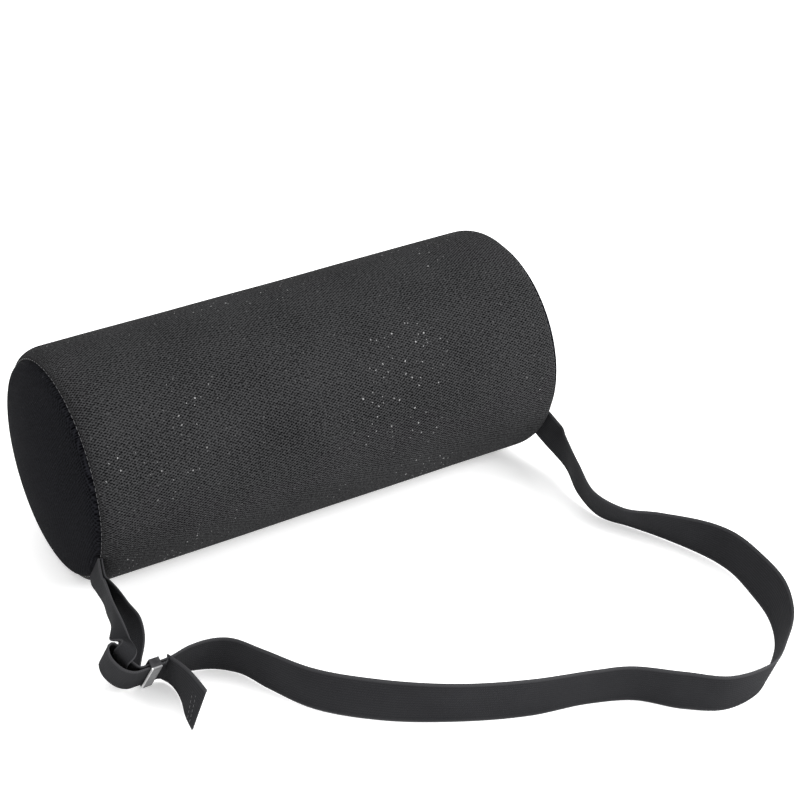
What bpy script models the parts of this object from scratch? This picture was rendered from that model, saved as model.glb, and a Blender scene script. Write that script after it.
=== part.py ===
"""Lumbar support roll: a foam cylinder in a zipped knit cover, with a webbing strap that goes round a chair back.

Metres, +Z up. The roll lies along X on the plane Z = 0, its left end towards -X. The strap lies in front of it, towards -Y,
and the zip runs along the rear underside, towards +Y. The origin is under the middle of the roll.
"""

import math

import bmesh
import bpy
from mathutils import Matrix, Vector

MM = 0.001

# Driving dimensions
ROLL_DIAMETER = 127 * MM
ROLL_LENGTH = 282 * MM  # between the flat planes of the two ends
CORNER_RADIUS = 14.6 * MM
END_CROWN = 6 * MM
REST_FLAT_DEPTH = 2 * MM  # how far the soft roll flattens where it lies

COVER_THICKNESS = 2.5 * MM
SEAM_TAPE_THICKNESS = 0.8 * MM
SEAM_TAPE_REACH = 6 * MM  # each way from the seam, along the cover

WEBBING_WIDTH = 25 * MM
WEBBING_THICKNESS = 1.2 * MM
ANCHOR_DROP_DEG = 35  # below the horizontal through the roll's axis
ANCHOR_LEAN_DEG = 15  # the webbing leaves the seam this far towards the end face
SEAM_ALLOWANCE = 1.6 * MM  # how far the webbing runs into the seam
SEWN_REACH = 15 * MM  # from the swing axis to where the webbing moves freely

STRAP_SLIDER_LENGTH = 5.4 * MM
STRAP_SLIDER_BAR = 1 * MM
STRAP_SLIDER_RAIL = 1.2 * MM
STRAP_SLIDER_BACK_BAR = 1.2 * MM

ZIP_LENGTH = 224 * MM
ZIP_ANGLE_DEG = 225  # from the front, over the top, to the rear underside
ZIP_SLOT_WIDTH = 9 * MM
ZIP_TAPE_WIDTH = 13 * MM
ZIP_TAPE_THICKNESS = 0.5 * MM
ZIP_COIL_WIDTH = 2 * MM
ZIP_COIL_HEIGHT = 1.6 * MM
ZIP_STOP_LENGTH = 3 * MM
ZIP_SLIDER_LENGTH = 10 * MM
ZIP_SLIDER_WIDTH = 8 * MM
ZIP_SLIDER_PLATE = 1 * MM
ZIP_SLIDER_NECK = 1 * MM
ZIP_SLIDER_NECK_LENGTH = 3 * MM
CROWN_WIDTH = 1.6 * MM
CROWN_LENGTH = 6 * MM
CROWN_BAR = 1 * MM
PULL_LENGTH = 14 * MM
PULL_WIDTH = 6.5 * MM
PULL_THICKNESS = 1.2 * MM

GAP = 0.3 * MM  # between pieces that touch on the real object
RUNNING_GAP = 0.35 * MM  # round pieces that slide or turn

ROUND_STEPS = 48

# Sizes and places that follow
RADIUS = ROLL_DIAMETER / 2
AXIS_HEIGHT = RADIUS - REST_FLAT_DEPTH
SEAM_INSET = CORNER_RADIUS * (1 - math.cos(math.radians(45)))
SEAM_X = ROLL_LENGTH / 2 - SEAM_INSET
SEAM_RADIUS = RADIUS - SEAM_INSET
CORE_INSET = COVER_THICKNESS + SEAM_TAPE_THICKNESS + 2 * GAP
FAR = 2 * ROLL_LENGTH

ANCHOR_OUTWARD = Vector((0, -math.cos(math.radians(ANCHOR_DROP_DEG)), -math.sin(math.radians(ANCHOR_DROP_DEG))))
ANCHOR_ACROSS = Vector((0, ANCHOR_OUTWARD.z, -ANCHOR_OUTWARD.y))  # lower edge to top edge, along the seam
ANCHOR_CENTRE = Vector((0, 0, AXIS_HEIGHT)) + SEAM_RADIUS * ANCHOR_OUTWARD
PLY_OFFSET = (WEBBING_THICKNESS + GAP) / 2  # from the middle of two plies to the middle of one

# Routes, in millimetres. Each row of a strap route is the webbing's lower edge (x, y, z) and how far its top edge leans from
# it (x, y). Each row of the loop route is one edge (x, y, z), then the other. They are drawn for anchors at ROUTE_ANCHOR, and
# routed() moves them with the real anchors: sideways near the ends, and to and fro all along.
ROUTE_ANCHOR = Vector((136.7, -48.5, 27.5)) * MM
ROUTE_END_X = 100 * MM  # past here a route moves as one with its own anchor
FLOOR_EDGE = 0.5
STRAP_ROUTE = [
    (140, -67, 7, -4, -4),
    (134, -89, 3, -4, -3),
    (134, -109, FLOOR_EDGE, -9, -5),
    (143, -126, FLOOR_EDGE, -12, -7),
    (152, -145, FLOOR_EDGE, -9, -4),
    (163, -187, FLOOR_EDGE, 1, 0),
    (160, -207, FLOOR_EDGE, 4, -1),
    (154, -229, FLOOR_EDGE, 6, -2),
    (143, -247, FLOOR_EDGE, 5, -5),
    (127, -261, FLOOR_EDGE, 5, -6),
    (110, -272, FLOOR_EDGE, 3, -7),
    (90, -273, FLOOR_EDGE, -1, -5),
    (73, -262, FLOOR_EDGE, -2, -2),
    (57, -245, FLOOR_EDGE, -4, -3),
    (37, -236, FLOOR_EDGE, -1, -5),
    (8, -229, FLOOR_EDGE, -1, -3),
    (-26, -214, FLOOR_EDGE, -1, -2),
    (-57, -194, FLOOR_EDGE, 0, 0),
    (-80, -170, FLOOR_EDGE, 0, 0),
    (-91, -146, FLOOR_EDGE, -2, 0),
    (-98, -128, FLOOR_EDGE, -4, -2),
    (-107, -119, FLOOR_EDGE, -3, -6),
    (-120, -114.5, 1.2, -1, -9.5),
]
RING_ROUTE = [  # across the slider (+ to the right) and behind it
    (-9.6, 4.6),
    (-11.3, 9.6),
    (-13, 14.6),
    (-14.8, 17),
    (-17.3, 16.3),
    (-18.6, 12.5),
    (-17.3, 6.5),
    (-13.8, 1.6),
    (-10, -0.5),
]
TAIL_ROUTE = [
    (-131.5, -117.5, 1.4, -2.5, -8),
    (-130.2, -125, FLOOR_EDGE, -3, -3),
    (-131.5, -134, FLOOR_EDGE, 0, -0.5),
    (-134.6, -144, FLOOR_EDGE, 5, -0.3),
    (-136.5, -155, FLOOR_EDGE, 7.5, -3),
]
SLIDER_PLACE = Vector((-141.5, -113.5, 3.3)) * MM  # lower edge of the two layers where the slider holds them
SLIDER_LEAN_DEG = 35  # the webbing's top edge leans this far towards -Y there
STRAIGHT_AHEAD = 6 * MM  # straight webbing each side of the slider's middle
LOOP_ROOT_ROW = (-136.6, -48.9, 13.7, -138.6, -63, 33.9)  # the middle of the two plies, outside the seam
LOOP_OUT_ROUTE = [
    (-137.6, -56.5, 12.8, -140.1, -67, 35.2),
    (-141, -70, 14.6, -141.6, -74.3, 36),
    (-143.9, -81.8, 16.6, -143.4, -84.5, 34.5),
    (-149.4, -92.6, 20, -145, -99.8, 32.6),
    (-153, -100.8, 24.7, -146.6, -110.6, 31.1),
]
LOOP_ROUND_ROUTE = [  # round the ring's straight run: out of its face, and up from its lower edge
    (0.4, 27),
    (-1.9, 25),
    (-1.9, 18),
    (-1.9, 8),
    (-1.9, 0),
    (-0.2, -2),
]
LOOP_ROUND_WIDTH = 10  # of the bunched webbing there
LOOP_BACK_ROUTE = [
    (-150.8, -100.5, 9.9, -145.3, -109.5, 4.3),
    (-147, -93.4, 9, -137, -102, 9.6),
    (-143.9, -87.6, 8.4, -132.4, -95.6, 14.2),
    (-140.1, -80.1, 6.7, -130.3, -86.7, 20.5),
    (-137.6, -71.8, 6.3, -132.8, -79.1, 25.4),
    (-135.9, -63.5, 8.8, -135.1, -72, 30.4),
    (-135.1, -55.5, 11.6, -137.4, -66.6, 33.7),
]

COLOURS = {
    "foam": ((0.55, 0.56, 0.52, 1), 0.95, 0.0),
    "knit": ((0.035, 0.036, 0.039, 1), 0.9, 0.0),
    "webbing": ((0.045, 0.046, 0.05, 1), 0.8, 0.0),
    "tape": ((0.03, 0.03, 0.032, 1), 0.85, 0.0),
    "nylon": ((0.02, 0.02, 0.02, 1), 0.4, 0.0),
    "nickel": ((0.6, 0.6, 0.61, 1), 0.3, 1.0),
}


def material(name):
    made = bpy.data.materials.get(name)
    if made is None:
        made = bpy.data.materials.new(name)
        made.use_nodes = True
        colour, roughness, metallic = COLOURS[name]
        shader = made.node_tree.nodes["Principled BSDF"]
        shader.inputs["Base Color"].default_value = colour
        shader.inputs["Roughness"].default_value = roughness
        shader.inputs["Metallic"].default_value = metallic
    return made


def mesh_object(name, bm, finish=None):
    """An object from a bmesh given in world places; one with no finish is a cutter."""
    bmesh.ops.recalc_face_normals(bm, faces=bm.faces)
    if bm.calc_volume(signed=True) < 0:
        bmesh.ops.reverse_faces(bm, faces=bm.faces)
    mesh = bpy.data.meshes.new(name)
    bm.to_mesh(mesh)
    bm.free()
    obj = bpy.data.objects.new(name, mesh)
    bpy.context.collection.objects.link(obj)
    if finish:
        mesh.materials.append(material(finish))
    else:
        obj.hide_render = True
        obj.display_type = "WIRE"
    return obj


def boolean(obj, operation, cutter):
    cut = obj.modifiers.new(operation.title() + "_" + cutter.name, "BOOLEAN")
    cut.operation = operation
    cut.object = cutter
    return obj


def box(name, low, high, turn=None, finish=None):
    """A block between two corners, given in the turned frame."""
    low, high = Vector(low), Vector(high)
    bm = bmesh.new()
    bmesh.ops.create_cube(bm, size=1)
    place = Matrix.Translation((low + high) / 2) @ Matrix.Diagonal((*(high - low), 1))
    bm.transform((turn or Matrix()) @ place)
    return mesh_object(name, bm, finish)


def frame_matrix(origin, x_axis, y_axis, z_axis):
    turn = Matrix((x_axis, y_axis, z_axis)).transposed().to_4x4()
    return Matrix.Translation(origin) @ turn


# The roll ------------------------------------------------------------------


def end_profile(inset):
    """(x, radius) of the right end, from its middle to the barrel, moved in by inset."""
    flat_radius = RADIUS - CORNER_RADIUS
    points = []
    for k in range(4):
        share = k / 4
        points.append((ROLL_LENGTH / 2 + END_CROWN * (1 - share**2) - inset, flat_radius * share))
    arc = CORNER_RADIUS - inset
    for k in range(7):
        turn = math.radians(90 * k / 6)
        points.append(
            (ROLL_LENGTH / 2 - CORNER_RADIUS + arc * math.cos(turn), flat_radius + arc * math.sin(turn))
        )
    return points


def roll_form(name, inset, finish=None):
    """The whole roll as one solid, moved in by inset, with its lowest part pressed flat."""
    right = end_profile(inset)
    outline = right + [(-x, r) for x, r in reversed(right)]
    bm = bmesh.new()
    verts = [bm.verts.new((x, -r, AXIS_HEIGHT)) for x, r in outline]
    edges = [bm.edges.new(pair) for pair in zip(verts, verts[1:])]
    bmesh.ops.spin(
        bm,
        geom=verts + edges,
        cent=(0, 0, AXIS_HEIGHT),
        axis=(1, 0, 0),
        angle=math.tau,
        steps=ROUND_STEPS,
        use_merge=True,
    )
    bmesh.ops.remove_doubles(bm, verts=bm.verts, dist=0.01 * MM)
    bmesh.ops.dissolve_degenerate(bm, edges=bm.edges, dist=0.001 * MM)
    form = mesh_object(name, bm, finish)
    floor_box = box(name + "_rest_plane", (-FAR, -FAR, inset), (FAR, FAR, FAR))
    return boolean(form, "INTERSECT", floor_box)


def around(x, radius, angle_deg):
    """A point on a cylinder about the roll's axis; angles run from the front, over the top, to the rear."""
    turn = math.radians(angle_deg)
    return Vector((x, -radius * math.cos(turn), AXIS_HEIGHT + radius * math.sin(turn)))


def sweep(sections, looped=False):
    """A solid through rings of points, each ring joined to the next."""
    bm = bmesh.new()
    rings = [[bm.verts.new(p) for p in section] for section in sections]
    pairs = list(zip(rings, rings[1:]))
    if looped:
        pairs.append((rings[-1], rings[0]))
    else:
        bm.faces.new(rings[0])
        bm.faces.new(rings[-1])
    for ring, after in pairs:
        for i, vert in enumerate(ring):
            j = (i + 1) % len(ring)
            bm.faces.new((vert, ring[j], after[j], after[i]))
    return bm


def seam_tape(name, side):
    """The binding inside the cover, over the raw edges of the end seam."""
    outer = CORNER_RADIUS - COVER_THICKNESS - GAP
    spread = SEAM_TAPE_REACH / outer
    rows = []
    for arc in (outer, outer - SEAM_TAPE_THICKNESS):
        turns = [math.radians(45) + spread * (k / 4 - 0.5) * 2 for k in range(5)]
        row = [
            (ROLL_LENGTH / 2 - CORNER_RADIUS + arc * math.cos(t), RADIUS - CORNER_RADIUS + arc * math.sin(t))
            for t in turns
        ]
        rows += row if arc == outer else reversed(row)
    sections = [
        [around(side * x, r, 360 * k / ROUND_STEPS) for x, r in rows] for k in range(ROUND_STEPS)
    ]
    tape = mesh_object(name, sweep(sections, looped=True), "tape")
    above_rest = box(name + "_rest_plane", (-FAR, -FAR, COVER_THICKNESS + GAP), (FAR, FAR, FAR))
    return boolean(tape, "INTERSECT", above_rest)


# Webbing -------------------------------------------------------------------


def smooth(rows, start=None, end=None, step=4.0):
    """Points on a smooth curve through rows of numbers; start and end are directions in the first three."""
    rows = [[float(v) for v in row] for row in rows]
    reach = [max(1e-6, math.dist(a[:3], b[:3])) for a, b in zip(rows, rows[1:])]
    slopes = []
    for i, row in enumerate(rows):
        before = [(b - a) / reach[i - 1] for a, b in zip(rows[i - 1], row)] if i else None
        after = [(b - a) / reach[i] for a, b in zip(row, rows[i + 1])] if i < len(rows) - 1 else None
        if before and after:
            share = reach[i - 1] / (reach[i - 1] + reach[i])
            slopes.append([b * (1 - share) + a * share for b, a in zip(before, after)])
        else:
            slopes.append(before or after)
    if start:
        slopes[0] = [*start, *([0.0] * (len(rows[0]) - 3))]
    if end:
        slopes[-1] = [*end, *([0.0] * (len(rows[0]) - 3))]
    points = [rows[0]]
    for i, h in enumerate(reach):
        count = max(2, math.ceil(h / step))
        for k in range(1, count + 1):
            t = k / count
            a, b = 2 * t**3 - 3 * t**2 + 1, t**3 - 2 * t**2 + t
            c, d = 3 * t**2 - 2 * t**3, t**3 - t**2
            points.append(
                [
                    a * p + b * h * m + c * q + d * h * n
                    for p, m, q, n in zip(rows[i], slopes[i], rows[i + 1], slopes[i + 1])
                ]
            )
    return points


def leaning_edges(point):
    """The two edges, in metres, of a strap route's point."""
    low = Vector(point[:3]) * MM
    lean = Vector((point[3], point[4], 0)) * MM
    rise = math.sqrt(max(0.0, WEBBING_WIDTH**2 - lean.length_squared))
    return low, low + lean + Vector((0, 0, rise))


def webbing(name, edges, finish="webbing"):
    """A flat band through pairs of edge points."""
    sections = []
    for i, (low, high) in enumerate(edges):
        before, after = edges[max(0, i - 1)], edges[min(len(edges) - 1, i + 1)]
        along = (after[0] + after[1] - before[0] - before[1]).normalized()
        face = along.cross(high - low).normalized() * WEBBING_THICKNESS / 2
        sections.append([low - face, high - face, high + face, low + face])
    return mesh_object(name, sweep(sections), finish)


def routed(point):
    """A route's point moved with the anchors."""
    sideways = (SEAM_X - ROUTE_ANCHOR.x) * max(-1.0, min(1.0, point.x / ROUTE_END_X))
    return point + Vector((sideways, ANCHOR_CENTRE.y - ROUTE_ANCHOR.y, 0))


def routed_row(row):
    """A row of a strap route or a loop route, in millimetres, moved with the anchors."""
    low = routed(Vector(row[:3]) * MM) / MM
    if len(row) == 5:
        return [*low, *row[3:]]
    return [*low, *(routed(Vector(row[3:]) * MM) / MM)]


def anchor_frame(side):
    """Where webbing leaves an end seam: (place, outward direction, face direction)."""
    place = ANCHOR_CENTRE + Vector((side * SEAM_X, 0, 0))
    lean = math.radians(ANCHOR_LEAN_DEG)
    outward = ANCHOR_OUTWARD * math.cos(lean) + Vector((side * math.sin(lean), 0, 0))
    return place, outward, outward.cross(ANCHOR_ACROSS)


def anchor_edges(side, distance, offset=0.0):
    """The two edges of webbing at a distance out of the seam."""
    place, outward, face = anchor_frame(side)
    middle = place + outward * distance + face * offset
    half = ANCHOR_ACROSS * WEBBING_WIDTH / 2
    return middle - half, middle + half


def as_row(edges):
    """Edge points in metres as a strap route's row."""
    low, high = edges
    return [*(low / MM), (high.x - low.x) / MM, (high.y - low.y) / MM]


SLIDER_ACROSS = Vector((0, -math.sin(math.radians(SLIDER_LEAN_DEG)), math.cos(math.radians(SLIDER_LEAN_DEG))))
SLIDER_FACE = Vector((0, -SLIDER_ACROSS.z, SLIDER_ACROSS.y))  # away from the roll


def slider_point(right, behind, up):
    """A point given in millimetres from SLIDER_PLACE: to the right, behind, and up along the webbing's width."""
    return routed(SLIDER_PLACE) + (Vector((right, 0, 0)) - SLIDER_FACE * behind + SLIDER_ACROSS * up) * MM


def slider_row(right, behind):
    """A strap route's row where the webbing's width keeps to the slider's."""
    return as_row((slider_point(right, behind, 0), slider_point(right, behind, WEBBING_WIDTH / MM)))


def strap_edges():
    """Edge points of the whole strap, from the right seam to its loose end."""
    leave = [as_row(anchor_edges(1, d)) for d in (-SEAM_ALLOWANCE, 6 * MM)]
    ahead, apart = STRAIGHT_AHEAD / MM, PLY_OFFSET / MM
    main = smooth([*leave, *map(routed_row, STRAP_ROUTE), slider_row(ahead, apart)], end=(-1, 0, 0), step=6)
    ring_rows = [slider_row(*point) for point in ((-ahead, apart), *RING_ROUTE, (-ahead, -apart))]
    ring = smooth(ring_rows, start=(-1, 0, 0), end=(1, 0, 0), step=1.6)
    tail = smooth([slider_row(ahead, -apart), *map(routed_row, TAIL_ROUTE)], start=(1, 0, 0), step=2.5)
    return [leaning_edges(p) for p in (*main, *ring, *tail)]


def round_run_rows():
    """The loop's rows round the ring's straight run, the webbing bunched to less than its width."""
    (right_a, behind_a), (right_b, behind_b) = RING_ROUTE[0], RING_ROUTE[2]
    reach = math.hypot(right_b - right_a, behind_b - behind_a)
    along = Vector(((right_b - right_a) / reach, (behind_b - behind_a) / reach))
    middle = Vector(((right_a + right_b) / 2, (behind_a + behind_b) / 2))
    rows = []
    for out, up in LOOP_ROUND_ROUTE:
        centre = middle + Vector((along.y, -along.x)) * out
        edges = [centre + along * LOOP_ROUND_WIDTH / 2 * side for side in (1, -1)]
        rows.append([v / MM for edge in edges for v in slider_point(*edge, up)])
    return rows


def loop_end_rows(ply):
    """One end of the loop, inside the seam and just out of it; ply is 1 for the outer and -1 for the inner."""
    rows = [anchor_edges(-1, distance, ply * PLY_OFFSET) for distance in (-SEAM_ALLOWANCE, 2.5 * MM)]
    return [[v / MM for edge in row for v in edge] for row in rows]


def loop_root_row(ply):
    """One ply a little farther out."""
    row = routed_row(LOOP_ROOT_ROW)
    aside = -ply * PLY_OFFSET * 1.1 / MM
    return [row[0] + aside, *row[1:3], row[3] + aside, *row[4:]]


def loop_edges():
    """Edge points of the short loop at the left seam, out along one ply and back along the other."""
    rows = [
        *loop_end_rows(1),
        loop_root_row(1),
        *map(routed_row, LOOP_OUT_ROUTE),
        *round_run_rows(),
        *map(routed_row, LOOP_BACK_ROUTE),
        loop_root_row(-1),
        *reversed(loop_end_rows(-1)),
    ]
    return [(Vector(p[:3]) * MM, Vector(p[3:]) * MM) for p in smooth(rows, step=2)]


def seam_pocket(name, side, plies):
    """The cutter that lets sewn webbing into the seam between the barrel and an end."""
    place, outward, face = anchor_frame(side)
    turn = frame_matrix(place, outward, ANCHOR_ACROSS, face)
    half_width = WEBBING_WIDTH / 2 + GAP
    half_depth = (plies * WEBBING_THICKNESS + (plies + 1) * GAP) / 2
    return box(
        name,
        (-SEAM_ALLOWANCE - GAP, -half_width, -half_depth),
        (SEAM_ALLOWANCE * 4, half_width, half_depth),
        turn,
    )


def swing_cylinder(name, radius):
    """A cutter about the swing axis through both anchors."""
    bm = bmesh.new()
    bmesh.ops.create_cone(
        bm, cap_ends=True, segments=48, radius1=radius, radius2=radius, depth=FAR
    )
    bm.transform(Matrix.Translation(ANCHOR_CENTRE) @ Matrix.Rotation(math.radians(90), 4, "Y"))
    return mesh_object(name, bm)


def make_webbing():
    """The strap and the loop move from the swing axis outwards; the ends sewn into the seams are their own pieces."""
    inner = swing_cylinder("sewn_reach", SEWN_REACH - GAP / 2)
    outer = swing_cylinder("free_reach", SEWN_REACH + GAP / 2)
    strap, loop = strap_edges(), loop_edges()
    half = len(loop) // 2
    boolean(webbing("strap", strap), "DIFFERENCE", outer)
    boolean(webbing("strap_sewn_end", strap[:20]), "INTERSECT", inner)
    boolean(webbing("loop_sewn_end_outer", loop[:half]), "INTERSECT", inner)
    boolean(webbing("loop_sewn_end_inner", loop[half:]), "INTERSECT", inner)
    anchor_loop = boolean(webbing("anchor_loop", loop), "DIFFERENCE", outer)
    anchor_loop.modifiers[-1].use_self = True  # thick webbing crosses itself inside the loop's tight turns


def make_strap_slider():
    """A one-piece slider: two rails past the webbing's edges, a broad bar in front and two narrow bars behind."""
    turn = frame_matrix(
        slider_point(0, 0, WEBBING_WIDTH / 2 / MM), Vector((1, 0, 0)), SLIDER_ACROSS, SLIDER_FACE
    )
    inner_height = WEBBING_WIDTH / 2 + RUNNING_GAP
    inner_depth = PLY_OFFSET + WEBBING_THICKNESS / 2 + RUNNING_GAP
    outer_height, outer_depth = inner_height + STRAP_SLIDER_RAIL, inner_depth + STRAP_SLIDER_BAR
    half = STRAP_SLIDER_LENGTH / 2
    slider = box("strap_slider", (-half, -outer_height, -outer_depth), (half, outer_height, outer_depth), turn, "nickel")
    passage = box("slider_passage", (-half * 2, -inner_height, -inner_depth), (half * 2, inner_height, inner_depth), turn)
    boolean(slider, "DIFFERENCE", passage)
    back = half - STRAP_SLIDER_BACK_BAR
    boolean(
        slider,
        "DIFFERENCE",
        box("slider_back", (-back, -inner_height, -outer_depth * 2), (back, inner_height, 0), turn),
    )
    rounding = slider.modifiers.new("Rounding", "BEVEL")
    rounding.width = 0.3 * MM
    rounding.segments = 1
    rounding.limit_method = "ANGLE"


# Zip -----------------------------------------------------------------------

COIL_TOP = RADIUS - COVER_THICKNESS + ZIP_COIL_HEIGHT
TAPE_TOP = RADIUS - COVER_THICKNESS - GAP
COIL_INNER = ZIP_SLIDER_NECK / 2 + GAP
LOWER_PLATE_TOP = TAPE_TOP - ZIP_TAPE_THICKNESS - RUNNING_GAP
UPPER_PLATE_BOTTOM = RADIUS + RUNNING_GAP
ZIP_REST_X = -ZIP_LENGTH / 2 + ZIP_SLIDER_LENGTH / 2 + GAP
PULL_AXIS = UPPER_PLATE_BOTTOM + ZIP_SLIDER_PLATE + RUNNING_GAP + PULL_THICKNESS / 2


def zip_frame():
    """x along the zip, y across it towards the top of the roll, z out of the cover; z is counted from the roll's axis."""
    out = around(0, 1, ZIP_ANGLE_DEG) - Vector((0, 0, AXIS_HEIGHT))
    along = Vector((1, 0, 0))
    return frame_matrix(Vector((0, 0, AXIS_HEIGHT)), along, out.cross(along), out)


def make_zip():
    frame = zip_frame()
    half = ZIP_LENGTH / 2
    for side, word in ((1, "upper"), (-1, "lower")):
        near = math.degrees(COIL_INNER / TAPE_TOP)
        far = math.degrees((COIL_INNER + ZIP_TAPE_WIDTH) / TAPE_TOP)
        angles = [ZIP_ANGLE_DEG - side * (near + (far - near) * k / 5) for k in range(6)]
        reach = half + ZIP_STOP_LENGTH + 4 * MM
        sections = [
            [
                around(-reach, TAPE_TOP, a),
                around(reach, TAPE_TOP, a),
                around(reach, TAPE_TOP - ZIP_TAPE_THICKNESS, a),
                around(-reach, TAPE_TOP - ZIP_TAPE_THICKNESS, a),
            ]
            for a in angles
        ]
        mesh_object(f"zip_tape_{word}", sweep(sections), "tape")
        edges = sorted((side * COIL_INNER, side * (COIL_INNER + ZIP_COIL_WIDTH)))
        box(
            f"zip_coil_{word}",
            (-half, edges[0], TAPE_TOP + GAP),
            (half, edges[1], COIL_TOP),
            frame,
            "nylon",
        )
        box(
            f"zip_top_stop_{word}",
            (-half - GAP - ZIP_STOP_LENGTH, edges[0], TAPE_TOP + GAP),
            (-half - GAP, edges[1], COIL_TOP),
            frame,
            "nickel",
        )
    stop_edge = COIL_INNER + ZIP_COIL_WIDTH
    box(
        "zip_bottom_stop",
        (half + GAP, -stop_edge, TAPE_TOP + GAP),
        (half + GAP + ZIP_STOP_LENGTH, stop_edge, COIL_TOP),
        frame,
        "nickel",
    )


def make_zip_slider():
    """Two plates joined by a neck between the coils, with a crown over the pull's root."""
    frame = zip_frame() @ Matrix.Translation((ZIP_REST_X, 0, 0))
    length, width = ZIP_SLIDER_LENGTH / 2, ZIP_SLIDER_WIDTH / 2
    neck = ZIP_SLIDER_NECK / 2
    neck_start = length - ZIP_SLIDER_NECK_LENGTH
    upper = (UPPER_PLATE_BOTTOM, UPPER_PLATE_BOTTOM + ZIP_SLIDER_PLATE)
    lower = (LOWER_PLATE_TOP - ZIP_SLIDER_PLATE, LOWER_PLATE_TOP)
    crown_top = PULL_AXIS + PULL_THICKNESS / 2 + RUNNING_GAP + CROWN_BAR
    slider = box("zip_slider", (-length, -width, upper[0]), (length, width, upper[1]), frame, "nickel")
    joined = [
        box("zip_slider_lower_plate", (-length, -width, lower[0]), (length, width, lower[1]), frame),
        box("zip_slider_neck", (neck_start, -neck, lower[0] / 2 + lower[1] / 2), (length - GAP, neck, upper[1] - GAP), frame),
        box(
            "zip_slider_crown",
            (-CROWN_LENGTH / 2, -CROWN_WIDTH / 2, upper[1] - GAP),
            (CROWN_LENGTH / 2, CROWN_WIDTH / 2, crown_top),
            frame,
        ),
    ]
    for piece in joined:
        boolean(slider, "UNION", piece)
    opening = box(
        "zip_slider_crown_opening",
        (-CROWN_LENGTH / 2 + CROWN_BAR, -CROWN_WIDTH, upper[1]),
        (CROWN_LENGTH / 2 - CROWN_BAR, CROWN_WIDTH, crown_top - CROWN_BAR),
        frame,
    )
    boolean(slider, "DIFFERENCE", opening)


def make_zip_pull():
    """A flat tab whose root passes under the crown; it hangs straight out of the rear underside."""
    frame = zip_frame() @ Matrix.Translation((ZIP_REST_X, 0, PULL_AXIS))
    half, thick = PULL_WIDTH / 2, PULL_THICKNESS / 2
    pull = box("zip_pull", (-thick, -half, -thick), (thick, half, PULL_LENGTH), frame, "nickel")
    eye_half = CROWN_WIDTH / 2 + RUNNING_GAP * 2
    eye_top = CROWN_LENGTH / 2 + CROWN_BAR + RUNNING_GAP
    eye = box("zip_pull_eye", (-thick * 3, -eye_half, thick), (thick * 3, eye_half, eye_top), frame)
    boolean(pull, "DIFFERENCE", eye)
    rounding = pull.modifiers.new("Rounding", "BEVEL")
    rounding.width = 0.25 * MM
    rounding.segments = 1
    rounding.limit_method = "ANGLE"


# The cover and its filling -------------------------------------------------


def make_cushion():
    zip_turn = zip_frame()
    core = roll_form("foam_core", CORE_INSET, "foam")
    relief = LOWER_PLATE_TOP - ZIP_SLIDER_PLATE - GAP
    boolean(core, "DIFFERENCE", box("zip_relief", (-FAR, -FAR, relief), (FAR, FAR, FAR), zip_turn))

    inside = roll_form("cover_inside", COVER_THICKNESS)
    slot_reach = ZIP_LENGTH / 2 + ZIP_STOP_LENGTH + 2 * MM
    slot = box(
        "zip_slot",
        (-slot_reach, -ZIP_SLOT_WIDTH / 2, RADIUS / 2),
        (slot_reach, ZIP_SLOT_WIDTH / 2, RADIUS * 2),
        zip_turn,
    )
    pockets = {1: seam_pocket("strap_pocket", 1, 1), -1: seam_pocket("loop_pocket", -1, 2)}

    barrel = roll_form("barrel_cover", 0, "knit")
    boolean(barrel, "INTERSECT", box("between_seams", (-SEAM_X + GAP / 2, -FAR, -FAR), (SEAM_X - GAP / 2, FAR, FAR)))
    for cutter in (inside, slot, *pockets.values()):
        boolean(barrel, "DIFFERENCE", cutter)

    for side, word in ((-1, "left"), (1, "right")):
        end = roll_form(f"{word}_end_cover", 0, "knit")
        reach = sorted((side * (SEAM_X + GAP / 2), side * FAR))
        boolean(end, "INTERSECT", box(f"{word}_of_seam", (reach[0], -FAR, -FAR), (reach[1], FAR, FAR)))
        boolean(end, "DIFFERENCE", inside)
        boolean(end, "DIFFERENCE", pockets[side])
        seam_tape(f"{word}_seam_tape", side)


def put_origin(name, place):
    """Move a piece's origin onto its joint's axis without moving the piece."""
    obj = bpy.data.objects[name]
    obj.data.transform(Matrix.Translation(-place))
    obj.location = place


def shade_round_pieces():
    for obj in bpy.data.objects:
        if obj.type == "MESH" and not obj.hide_render:
            obj.data.shade_smooth()
            obj.data.set_sharp_from_angle(angle=math.radians(35))


def main():
    for obj in list(bpy.data.objects):
        bpy.data.objects.remove(obj)
    make_cushion()
    make_webbing()
    make_strap_slider()
    make_zip()
    make_zip_slider()
    make_zip_pull()
    put_origin("strap", ANCHOR_CENTRE)
    put_origin("anchor_loop", ANCHOR_CENTRE)
    put_origin("strap_slider", slider_point(0, 0, WEBBING_WIDTH / 2 / MM))
    put_origin("zip_slider", zip_frame() @ Vector((ZIP_REST_X, 0, RADIUS)))
    put_origin("zip_pull", zip_frame() @ Vector((ZIP_REST_X, 0, PULL_AXIS)))
    shade_round_pieces()


main()
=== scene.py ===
# %% [markdown]
# # A lumbar roll with its strap
# This lesson dresses a measured model of a lumbar roll: a foam cylinder in a zipped knit cover, with a
# webbing strap that goes round a chair's back. The model already holds every piece at its true size and
# place. Here each soft piece gets its real surface, and each hard piece its finish.

# %% Load the measured model
import math

import bmesh
import bpy
from mathutils import Euler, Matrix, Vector, noise


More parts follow.
